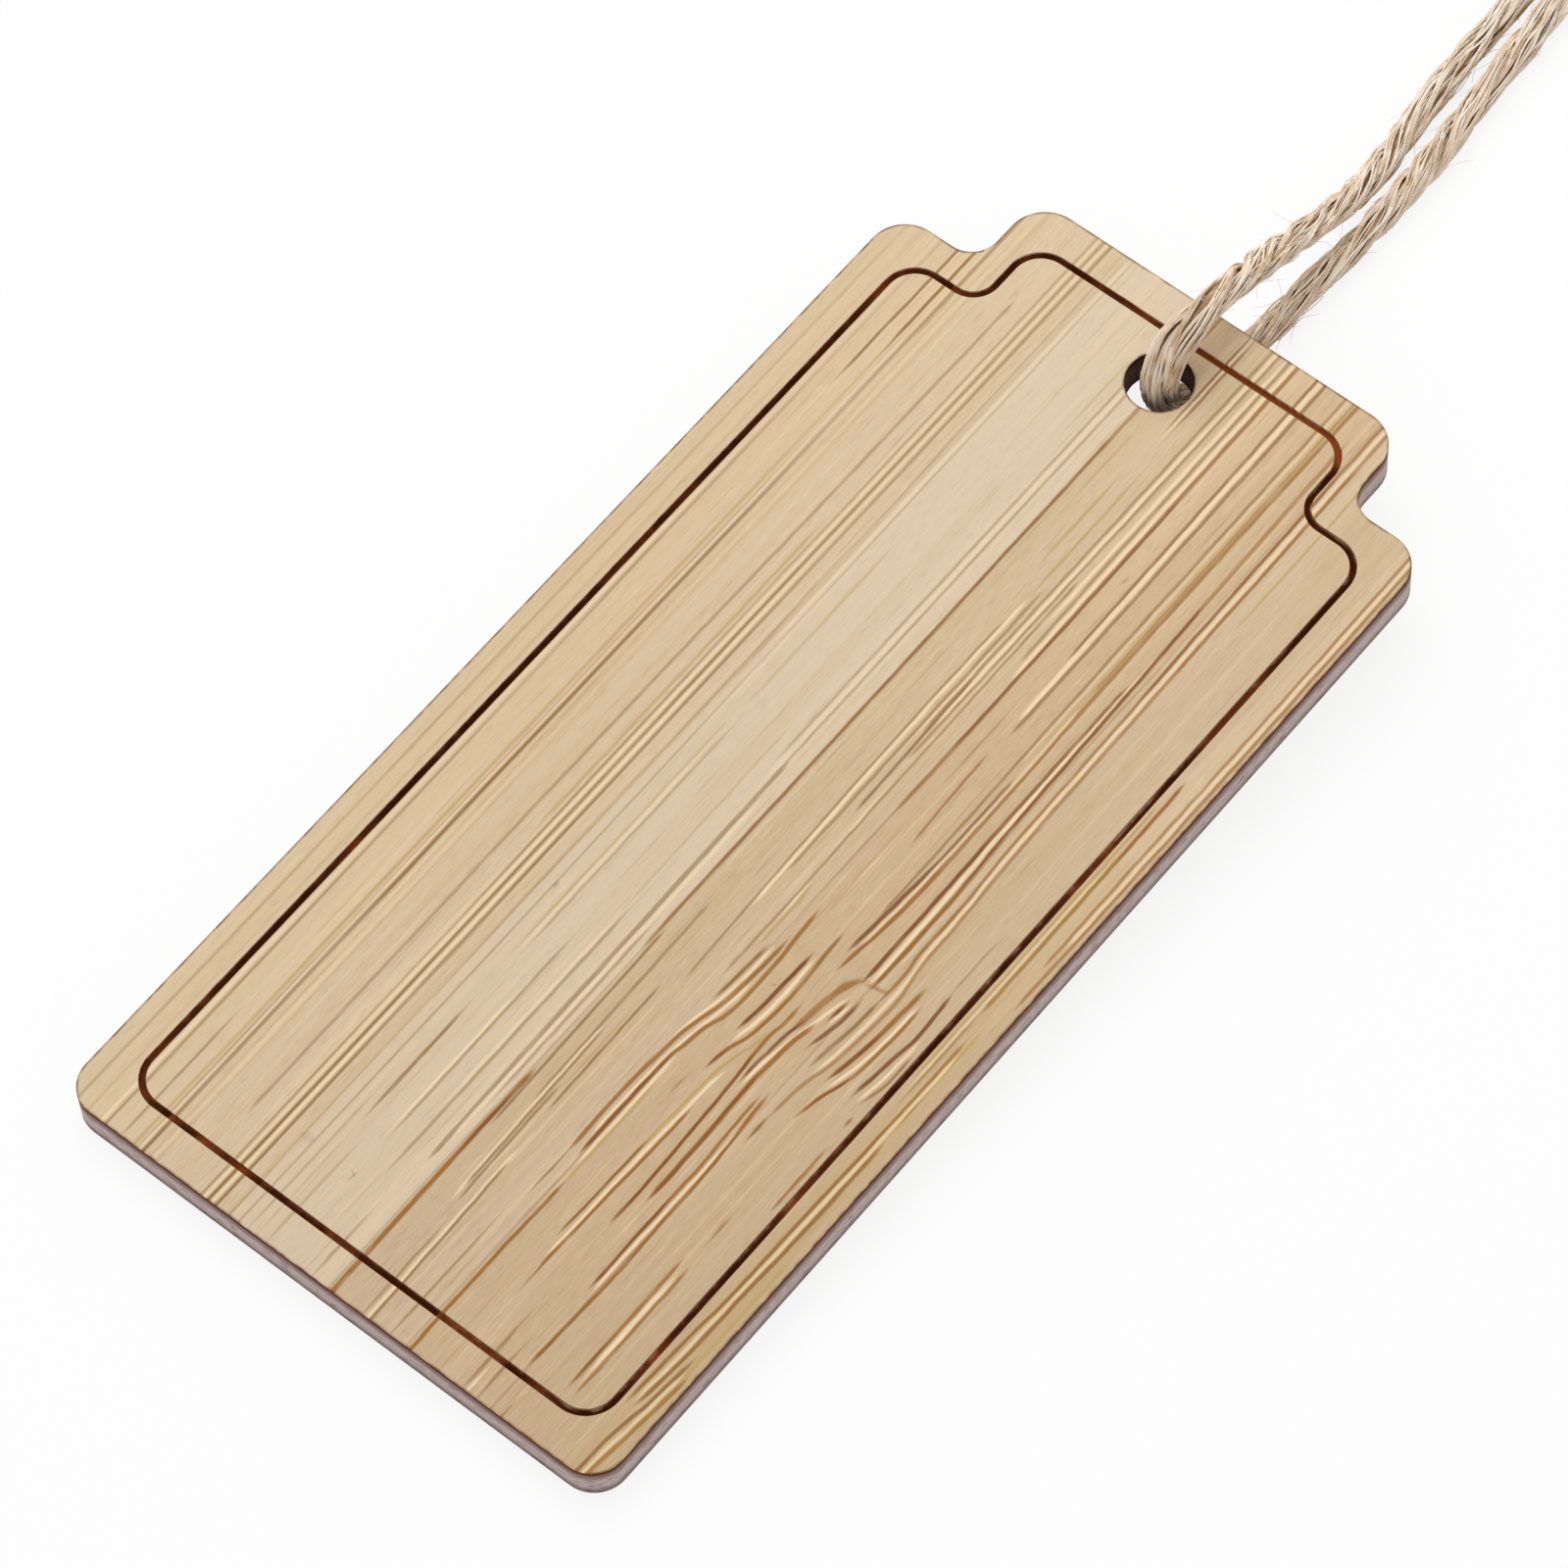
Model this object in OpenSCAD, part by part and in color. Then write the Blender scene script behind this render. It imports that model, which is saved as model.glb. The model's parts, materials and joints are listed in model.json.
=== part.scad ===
// Bamboo plant label: a flat tag cut from a board of edge-glued bamboo strips, with stepped
// shoulders, a line burnt round its face and a loop of jute twine tied through its hole.
// It lies face up on a surface. The twine runs under the top end and props it up a little.
// The origin is on that surface, below the middle of the label. Millimetres, +Z up.

/* [Label] */
// Width of the label
label_w = 40; // [36:0.5:60]
// Length of the label
label_l = 82; // [60:0.5:120]
// Thickness of the bamboo board
label_t = 2.5; // [1.5:0.1:3.5]
// Radius of the two bottom corners
corner_r = 2.2; // [0.5:0.1:6]

/* [Shoulders] */
// How far each shoulder steps in from the side
notch_w = 6.1; // [4.5:0.1:9]
// How far each shoulder steps down from the top end
notch_h = 5.9; // [4.5:0.1:9]
// Radius of the outer corner of each shoulder
shoulder_r = 2.4; // [0.5:0.1:4]
// Radius of the inner corner of each shoulder
fillet_r = 1.9; // [0.5:0.1:3.2]
// Radius of the two top corners
top_r = 2.5; // [0.5:0.1:3.8]

/* [Strips] */
// Width of the strip along the left edge
left_edge_w = 5.9; // [4:0.1:8]
// Width of the strip inside the left edge
left_w = 6.9; // [4:0.1:9]
// Width of the strip right of the middle
right_centre_w = 5.8; // [4:0.1:8]
// Width of the strip inside the right edge
right_w = 6.2; // [4:0.1:8]
// Width of the strip along the right edge
right_edge_w = 7.8; // [4:0.1:10]

/* [Hole] */
// Diameter of the hole for the twine
hole_d = 4.2; // [3.4:0.1:6]
// Distance of the hole's centre from the top end
hole_from_top = 5.9; // [4.5:0.1:9]

/* [Burnt line] */
// Distance of the line's middle from the edges
border_inset = 2.7; // [1.5:0.1:3.2]
// How far the line steps in at each shoulder
border_notch_w = 5.3; // [4:0.1:8]
// How far the line steps down at each shoulder
border_notch_h = 5.5; // [4:0.1:8]
// Radius of the line's outward corners
border_r = 2.1; // [0.5:0.1:3]
// Radius of the line's inward corners
border_fillet_r = 1.7; // [0.5:0.1:2.3]
// Width of the line
border_line_w = 0.45; // [0.2:0.05:0.9]
// Depth that the line is burnt to
border_depth = 0.3; // [0.1:0.05:0.8]

/* [Twine] */
// Diameter of the twine
twine_d = 2; // [1.4:0.1:2.2]
// Height of the label's back above the surface, below the hole
prop_h = 3; // [2.6:0.1:3.6]
// Diameter of the knot at its middle
knot_d = 6.8; // [6.2:0.1:9]
// How far the knot's middle swells past its flat ends
knot_bulge = 0.5; // [0.1:0.05:0.6]
// Length of the knot
knot_l = 8.4; // [6:0.1:12]

/* [Hidden] */
$fn = 64;

// Extra length by which cutters run past what they cut
past = 1;

// Glue lines between the strips, from left to right, measured in from both edges of the label.
// The strip left of the middle takes the rest of the width.
edge_x = label_w / 2;
glue_1 = left_edge_w - edge_x;
glue_2 = glue_1 + left_w;
glue_5 = edge_x - right_edge_w;
glue_4 = glue_5 - right_w;
glue_3 = glue_4 - right_centre_w;

// The hole, up the label from its bottom end, and the tilt at which the twine holds the label
hole_y = label_l - hole_from_top;
tilt = asin(prop_h / hole_y);
lay_y = (label_t * sin(tilt) - label_l * cos(tilt)) / 2;
hole_at = [0, hole_y * cos(tilt) - label_t / 2 * sin(tilt) + lay_y, 0];

// Routes of the twine's two legs, from inside the hole to the knot, measured from the surface
// below the hole: x across the label, y out past its top end, z up
front_route = [
    [0, 0, 5], [0, 0, 5.5], [0, 0.4, 6.7], [0, 1.2, 7.8], [0.2, 2.5, 8.7], [0.3, 4, 9],
    [0.3, 6, 8.6], [0.1, 8.5, 7.5], [-0.2, 11, 6.1], [-0.4, 14, 4.5], [-0.5, 17, 3.1],
    [-0.6, 20, 2.1], [-0.9, 23.5, 1.3], [-1.4, 27, 1], [-1.8, 31, 1], [-2, 36, 1],
    [-2.3, 41, 1], [-2.5, 47, 1], [-2.5, 53, 1.1], [-2.5, 57, 1.6], [-2.5, 61, 2.3],
    [-2.4, 63.5, 2.6], [-2.4, 65, 2.6]
];
back_route = [
    [0, 0, 5], [0, 0, 4.5], [0, 0.4, 3.3], [0.1, 1.2, 2.2], [0.3, 2.5, 1.3], [0.5, 4, 1],
    [0.8, 7, 1], [1, 10, 1], [1.1, 14, 1], [1.3, 18, 1], [1.3, 22, 1], [1.2, 26, 1], [0.8, 30, 1],
    [0.4, 35, 1], [0.1, 40, 1], [-0.1, 46, 1], [-0.2, 52, 1.1], [-0.2, 57, 1.6], [-0.2, 61, 2.3],
    [-0.3, 63.5, 2.6], [-0.3, 65, 2.6]
];

// The knot's middle line starts where the legs end, half way between them
front_end = front_route[len(front_route) - 1];
back_end = back_route[len(back_route) - 1];
knot_at = [(front_end.x + back_end.x) / 2, front_end.y, knot_d / 2];

// Routes of the two cut tails, from the far end of the knot down to the surface. They leave the
// knot higher than the legs enter it, because the twine crosses over itself inside.
tail_rise = 1.6;
tail_out = [0, knot_l, tail_rise];
left_drop = [
    [0, 0, 0], [0, 1.5, 0], [-0.3, 4.5, -0.9], [-0.8, 7.5, -2.3], [-1.3, 10.5, -3.1], [-1.8, 13.5, -3.2]
];
right_drop = [
    [0, 0, 0], [0, 1.5, 0], [0.3, 4, -0.8], [0.8, 7, -2.2], [1.3, 9.5, -3], [1.7, 12, -3.2]
];
left_tail_route = [for (p = left_drop) front_end + tail_out + p];
right_tail_route = [for (p = right_drop) back_end + tail_out + p];

// Sides of a length of twine, and facets of the large circle that rounds the knot's side
twine_sides = 8;
bulge_facets = 720;
twine_colour = "tan";

function unit(v) = v / norm(v);

// Direction of a route at one of its points
function heading(route, i) =
    unit(route[min(i + 1, len(route) - 1)] - route[max(i - 1, 0)]);

// One ring of the tube, square to the route, with a flat side underneath
function ring(route, i, ring_r) =
    let (
        along = heading(route, i),
        rise = unit(cross([1, 0, 0], along)),
        side = cross(along, rise)
    )
    [for (k = [0 : twine_sides - 1])
        let (a = 360 * (k + 0.5) / twine_sides)
        route[i] + ring_r * (cos(a) * side + sin(a) * rise)];

// A length of twine as one closed tube along a route
module twine_tube(route) {
    rings = len(route);
    ring_r = twine_d / 2 / cos(180 / twine_sides);
    points = [for (i = [0 : rings - 1]) each ring(route, i, ring_r)];
    walls = [
        for (i = [0 : rings - 2], k = [0 : twine_sides - 1])
            let (
                a = i * twine_sides + k,
                b = i * twine_sides + (k + 1) % twine_sides
            )
            each [[a, a + twine_sides, b], [b, a + twine_sides, b + twine_sides]]
    ];
    start_cap = [for (k = [0 : twine_sides - 1]) k];
    end_cap = [for (k = [twine_sides - 1 : -1 : 0]) (rings - 1) * twine_sides + k];
    translate(hole_at)
        polyhedron(points, concat(walls, [start_cap, end_cap]), convexity = 6);
}

// What a round corner leaves of its square, with the square's corner at the origin
module spandrel(r) {
    difference() {
        square(r);
        translate([r, r])
            circle(r);
    }
}

// The label's outline, or a line inside it: inset from the edges, with its own steps and radii
module outline(inset, step_w, step_h, bottom_r, step_r, inner_r, end_r) {
    half_w = label_w / 2 - inset;
    neck_half_w = half_w - step_w;
    end_y = label_l - inset;
    shoulder_y = end_y - step_h;
    difference() {
        union() {
            translate([-half_w, inset])
                square([2 * half_w, shoulder_y - inset]);
            translate([-neck_half_w, inset])
                square([2 * neck_half_w, end_y - inset]);
            for (s = [0, 1])
                mirror([s, 0])
                    translate([neck_half_w, shoulder_y])
                        spandrel(inner_r);
        }
        for (s = [0, 1])
            mirror([s, 0]) {
                translate([-half_w, inset])
                    spandrel(bottom_r);
                translate([-half_w, shoulder_y])
                    mirror([0, 1])
                        spandrel(step_r);
                translate([-neck_half_w, end_y])
                    mirror([0, 1])
                        spandrel(end_r);
            }
    }
}

module label_outline() {
    outline(0, notch_w, notch_h, corner_r, shoulder_r, fillet_r, top_r);
}

// The burnt line's outer or inner limit, half the line's width to either side of its middle
module border_limit(out) {
    outward_r = border_r + out;
    outline(border_inset - out, border_notch_w, border_notch_h,
            outward_r, outward_r, border_fillet_r - out, outward_r);
}

module border_groove() {
    translate([0, 0, label_t - border_depth])
        linear_extrude(border_depth + past)
            difference() {
                border_limit(border_line_w / 2);
                border_limit(-border_line_w / 2);
            }
}

// The whole board after cutting, drilling and burning, with its bottom end on the X axis
module board() {
    difference() {
        linear_extrude(label_t)
            label_outline();
        translate([0, hole_y, -past])
            cylinder(h = label_t + 2 * past, d = hole_d);
        border_groove();
    }
}

// The board as it lies: bottom end on the surface, top end propped up by the twine
module lay() {
    translate([0, lay_y, 0])
        rotate([tilt, 0, 0])
            children();
}

// The part of the board between two glue lines
module strip(from_x, to_x) {
    lay()
        intersection() {
            board();
            translate([from_x, -past, -past])
                cube([to_x - from_x, label_l + 2 * past, label_t + 2 * past]);
        }
}

module left_edge_strip() {
    color("burlywood")
        strip(-edge_x - past, glue_1);
}

module left_strip() {
    color("wheat")
        strip(glue_1, glue_2);
}

module left_centre_strip() {
    color("burlywood")
        strip(glue_2, glue_3);
}

module right_centre_strip() {
    color("wheat")
        strip(glue_3, glue_4);
}

module right_strip() {
    color("burlywood")
        strip(glue_4, glue_5);
}

module right_edge_strip() {
    color("wheat")
        strip(glue_5, edge_x + past);
}

// The leg that comes up out of the hole, over the top end and down to the knot
module twine_front_leg() {
    color(twine_colour)
        twine_tube(front_route);
}

// The leg that goes down through the hole and out under the top end
module twine_back_leg() {
    color(twine_colour)
        twine_tube(back_route);
}

// Both legs tied in one overhand knot: a barrel that the legs meet at its flat end
module twine_knot() {
    bulge_r = (knot_l * knot_l / 4 + knot_bulge * knot_bulge) / (2 * knot_bulge);
    color(twine_colour)
        translate(hole_at + knot_at)
            rotate([-90, 0, 0])
                rotate_extrude()
                    intersection() {
                        square([knot_d / 2, knot_l]);
                        translate([knot_d / 2 - bulge_r, knot_l / 2])
                            circle(bulge_r, $fn = bulge_facets);
                    }
}

// The two cut ends beyond the knot
module twine_tails() {
    color(twine_colour) {
        twine_tube(left_tail_route);
        twine_tube(right_tail_route);
    }
}

left_edge_strip();
left_strip();
left_centre_strip();
right_centre_strip();
right_strip();
right_edge_strip();
twine_front_leg();
twine_back_leg();
twine_knot();
twine_tails();
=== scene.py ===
"""A bamboo plant label on a loop of jute twine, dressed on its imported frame."""
import json
import math

import bpy
import numpy as np
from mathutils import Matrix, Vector


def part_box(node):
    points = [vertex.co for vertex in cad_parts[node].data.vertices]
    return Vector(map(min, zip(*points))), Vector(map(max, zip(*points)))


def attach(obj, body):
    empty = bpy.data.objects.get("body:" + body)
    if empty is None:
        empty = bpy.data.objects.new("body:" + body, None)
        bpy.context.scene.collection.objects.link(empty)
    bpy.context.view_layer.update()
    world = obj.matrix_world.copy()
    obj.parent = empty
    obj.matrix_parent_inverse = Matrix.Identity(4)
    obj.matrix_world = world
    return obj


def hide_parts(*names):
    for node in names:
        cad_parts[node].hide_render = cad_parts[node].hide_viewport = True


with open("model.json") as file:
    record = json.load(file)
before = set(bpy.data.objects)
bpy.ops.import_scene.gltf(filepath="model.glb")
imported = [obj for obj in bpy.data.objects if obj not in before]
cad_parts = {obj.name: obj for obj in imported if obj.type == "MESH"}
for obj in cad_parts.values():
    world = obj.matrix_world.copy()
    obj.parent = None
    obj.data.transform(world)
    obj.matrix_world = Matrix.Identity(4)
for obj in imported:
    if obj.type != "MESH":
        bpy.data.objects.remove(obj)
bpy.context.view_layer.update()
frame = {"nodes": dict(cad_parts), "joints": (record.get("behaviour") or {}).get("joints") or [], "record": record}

# Six bamboo strips
# Strips split from the wall of a bamboo cane, glued edge to edge, sanded flat and cut to one outline by a
# laser. Its heat browned the cut edges and the hole, and burnt a line into the face along the outline.
# Sizes are in millimetres. Places are across the label from its middle line and up from its bottom end.
label_w = 40
label_l = 82
label_t = 2.5
corner_r = 2.2
notch_w = 6.1
notch_h = 5.9
shoulder_r = 2.4
fillet_r = 1.9
top_r = 2.5
hole_d = 4.2
hole_y = 76.1
border_inset = 2.7
border_notch_w = 5.3
border_notch_h = 5.5
border_r = 2.1
border_fillet_r = 1.7
border_line_w = 0.45
glue_lines = {
    "left_edge_strip": (-20, -14.1),
    "left_strip": (-14.1, -7.2),
    "left_centre_strip": (-7.2, 0.2),
    "right_centre_strip": (0.2, 6.0),
    "right_strip": (6.0, 12.2),
    "right_edge_strip": (12.2, 20),
}
back_face = next(mount for mount in frame["record"]["mounts"] if mount["name"] == "back_face")
back_face_y = 40
lean = math.asin(back_face["axis"][1])
grain_up = Vector((0, math.cos(lean), math.sin(lean)))
face_up = -Vector(back_face["axis"])


class Wire:
    """A socket in a material. Sums, products and the like of wires and numbers add Math nodes."""

    def __init__(self, tree, socket=None):
        self.tree = tree
        self.socket = socket

    def node(self, kind, settings=None, sockets=None, output=0):
        """A new node of that kind: its settings are made first, then its sockets are filled or linked"""
        made = self.tree.nodes.new("ShaderNode" + kind)
        for name, value in (settings or {}).items():
            if name == "stops":
                while len(made.color_ramp.elements) < len(value):
                    made.color_ramp.elements.new(1)
                for element, (position, colour) in zip(made.color_ramp.elements, value):
                    element.position = position
                    element.color = colour
            elif name == "curve":
                line = made.mapping.curves[0].points
                while len(line) < len(value):
                    line.new(1, 1)
                for point, spot in zip(line, value):
                    point.location = spot
                made.mapping.update()
            else:
                setattr(made, name, value)
        for name, value in (sockets or {}).items():
            if isinstance(value, Wire):
                self.tree.links.new(value.socket, made.inputs[name])
            else:
                made.inputs[name].default_value = value
        return Wire(self.tree, made.outputs[output] if made.outputs else None)

    def math(self, operation, *operands):
        return self.node("Math", {"operation": operation}, dict(enumerate(operands)))

    def at_least(self, other):
        return self.math("MAXIMUM", self, other)

    def at_most(self, other):
        return self.math("MINIMUM", self, other)

    def fade(self, start, end):
        """0 at the start value and 1 at the end value, smooth between them"""
        reach = {"Value": self, "From Min": start, "From Max": end}
        return self.node("MapRange", {"interpolation_type": "SMOOTHSTEP"}, reach)

    def __add__(self, other):
        return self.math("ADD", self, other)

    def __sub__(self, other):
        return self.math("SUBTRACT", self, other)

    def __rsub__(self, other):
        return self.math("SUBTRACT", other, self)

    def __mul__(self, other):
        return self.math("MULTIPLY", self, other)

    def __truediv__(self, other):
        return self.math("DIVIDE", self, other)

    def __abs__(self):
        return self.math("ABSOLUTE", self)

    __radd__ = __add__
    __rmul__ = __mul__


def paint(red, green, blue):
    """A colour given as on a screen, 0 to 255, in the shader's own linear units"""
    share = [channel / 255 for channel in (red, green, blue)]
    return (*[s / 12.92 if s <= 0.04045 else ((s + 0.055) / 1.055) ** 2.4 for s in share], 1)


def over(base, share, colour):
    """A colour laid over another, by that share of it"""
    return share.node("Mix", {"data_type": "RGBA"}, {0: share, 6: base, 7: colour}, output=2)


def span(a, b):
    """The length of the slope with these two sides"""
    return a.math("SQRT", a * a + b * b)


def round_box(x, y, half_w, low, high, corner):
    """Distance from a box with round corners, negative inside it"""
    past_x = abs(x) - half_w + corner
    past_y = abs(y - (low + high) / 2) - (high - low) / 2 + corner
    return span(past_x.at_least(0), past_y.at_least(0)) + past_x.at_least(past_y).at_most(0) - corner


def tag_outline(x, y, inset, step_w, step_h, corners, fillet):
    """Distance from a tag's outline with stepped shoulders, negative inside it. Its corners are rounded
    by three radii, from the bottom up, and the shoulders' inner corners by the fillet."""
    half_w = label_w / 2 - inset
    top = label_l - inset
    low_r, middle_r, high_r = corners
    corner = y.fade(label_l / 2, label_l / 2 + 1) * (middle_r - low_r) + low_r
    body = round_box(x, y, half_w, inset, top - step_h, corner)
    neck = round_box(x, y, half_w - step_w, label_l / 2, top, high_r)
    past_body = (fillet - body).at_least(0)
    past_neck = (fillet - neck).at_least(0)
    return body.at_most(neck).at_least(fillet) - span(past_body, past_neck)


def grain(x, y, across, along, seed, detail=2.0):
    """Noise drawn out along the grain, given in waves per millimetre across it and along it"""
    place = x.node("CombineXYZ", None, {"X": x * across, "Y": y * along, "Z": seed})
    return x.node("TexNoise", None, {"Vector": place, "Scale": 1.0, "Detail": detail})


straw = paint(196, 164, 104)
honey = paint(163, 112, 52)
brown = paint(130, 79, 43)
umber = paint(149, 113, 64)
cream = paint(247, 221, 182)
char = paint(98, 47, 14)
soot = paint(66, 26, 5)
rust = paint(158, 74, 24)
wall_grey = paint(150, 126, 122)
# Painted bounce light on the lower part of the walls
wall_bounce_lit = paint(212, 192, 188)
# The dark of the walls' layers, and the painted shadow at their back edge
wall_dark_and_shadow = paint(92, 70, 60)

# Faint grain between the fibre lines: seed, waves per millimetre across and along the strip, and detail.
# Then the colour of its high and of its low parts, where each begins and is full, and its strength.
faint_grain = {
    "ripple": (1, 2.5, 0.03, 3.0, (straw, 0.55, 0.74, 0.24), (cream, 0.46, 0.27, 0.26)),
    "dash": (2, 5.5, 0.12, 2.0, (umber, 0.6, 0.76, 0.3), (cream, 0.4, 0.28, 0.25)),
    "fine": (9, 16, 0.8, 2.0, (brown, 0.52, 0.8, 0.22), (cream, 0.48, 0.24, 0.24)),
}

# Fibre lines that run the whole length: place across the label, half width, colour and strength
fibre_lines = [
    (-18.92, 0.15, umber, 0.4), (-17.95, 0.15, straw, 0.45), (-16.87, 0.13, cream, 0.8),
    (-16.55, 0.14, umber, 0.62), (-14.42, 0.17, straw, 0.8), (-14.04, 0.13, cream, 0.75),
    (-13.73, 0.18, umber, 1), (-13.2, 0.12, straw, 0.35), (-12.93, 0.12, cream, 0.35),
    (-12.68, 0.12, straw, 0.5), (-9.28, 0.12, umber, 0.7), (-9.03, 0.12, cream, 0.9),
    (-8.76, 0.15, umber, 1), (-8.49, 0.12, cream, 1), (-8.2, 0.16, umber, 0.95),
    (-6.47, 0.1, umber, 0.5),
]

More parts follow.
